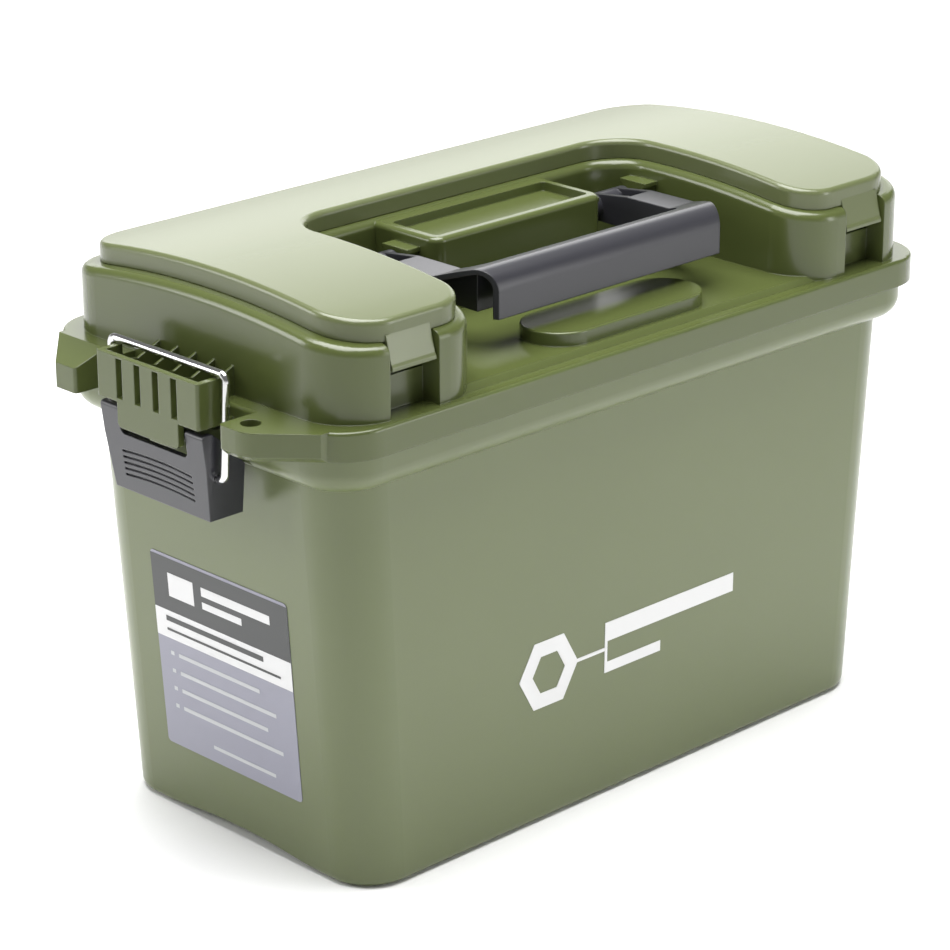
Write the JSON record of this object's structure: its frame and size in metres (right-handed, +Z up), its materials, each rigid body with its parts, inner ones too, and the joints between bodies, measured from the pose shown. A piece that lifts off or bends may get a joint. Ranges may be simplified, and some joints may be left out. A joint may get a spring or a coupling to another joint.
{
  "type": "lockable dry storage case",
  "caption": "Rigid olive plastic dry-storage case: lift-off lid with a U-shaped top compartment, recessed fold-up handle, wire bail latches on both ends and padlock ears.",
  "frame": {"origin": "centre of the footprint, on the ground under the case", "axes": "+X along the case towards the right end, +Y to the back (compartment hinge side), +Z up"},
  "size_m": [0.409, 0.1906, 0.261],
  "materials": {
    "body_plastic": "satin moulded polypropylene",
    "lid_plastic": "satin moulded polypropylene",
    "cover_plastic": "satin moulded polypropylene",
    "handle_plastic": "satin dark grey plastic",
    "lever_plastic": "satin dark grey plastic",
    "seal_rubber": "matte black foam rubber",
    "pin_steel": "plain steel pin",
    "bail_wire": "bright drawn steel wire",
    "label_film": null,
    "mark_ink": "white pad-printed ink"
  },
  "bodies": {
    "case": {"case_body": "body_plastic", "end_label": "label_film", "front_mark": "mark_ink", "lever_pin_left": "pin_steel", "lever_pin_right": "pin_steel"},
    "lid": {"main_lid": "lid_plastic", "lid_seal": "seal_rubber", "compartment_hinge_pin_left": "pin_steel", "compartment_hinge_pin_right": "pin_steel", "handle_pin_left": "pin_steel", "handle_pin_right": "pin_steel"},
    "cover": {"compartment_lid": "cover_plastic"},
    "handle": {"carry_handle": "handle_plastic"},
    "lever_left": {"latch_lever_left": "lever_plastic"},
    "lever_right": {"latch_lever_right": "lever_plastic"},
    "bail_left": {"latch_bail_left": "bail_wire"},
    "bail_right": {"latch_bail_right": "bail_wire"}
  },
  "joints": [
    {"name": "lid_lift", "type": "slide", "parent": "case", "child": "lid", "axis": [0, 0, 1], "range_m": [0, 0.2]},
    {"name": "cover_hinge", "type": "hinge", "parent": "lid", "child": "cover", "pos_m": [0, 0.0892, 0.2486], "axis": [-1, 0, 0], "range_deg": [0, 110]},
    {"name": "handle_hinge", "type": "hinge", "parent": "lid", "child": "handle", "pos_m": [0, 0.0065, 0.238], "axis": [-1, 0, 0], "range_deg": [0, 95]},
    {"name": "lever_left_hinge", "type": "hinge", "parent": "case", "child": "lever_left", "pos_m": [-0.1966, 0, 0.1996], "axis": [0, 1, 0], "range_deg": [0, 96]},
    {"name": "lever_right_hinge", "type": "hinge", "parent": "case", "child": "lever_right", "pos_m": [0.1966, 0, 0.1996], "axis": [0, -1, 0], "range_deg": [0, 96]},
    {"name": "bail_left_hinge", "type": "hinge", "parent": "lever_left", "child": "bail_left", "pos_m": [-0.1938, 0, 0.184], "axis": [0, 1, 0], "range_deg": [-100.8, 0]},
    {"name": "bail_right_hinge", "type": "hinge", "parent": "lever_right", "child": "bail_right", "pos_m": [0.1938, 0, 0.184], "axis": [0, -1, 0], "range_deg": [-100.8, 0]}
  ],
  "couplings": [
    {"joint": "bail_left_hinge", "follows": "lever_left_hinge", "ratio": -1.05},
    {"joint": "bail_right_hinge", "follows": "lever_right_hinge", "ratio": -1.05}
  ]
}
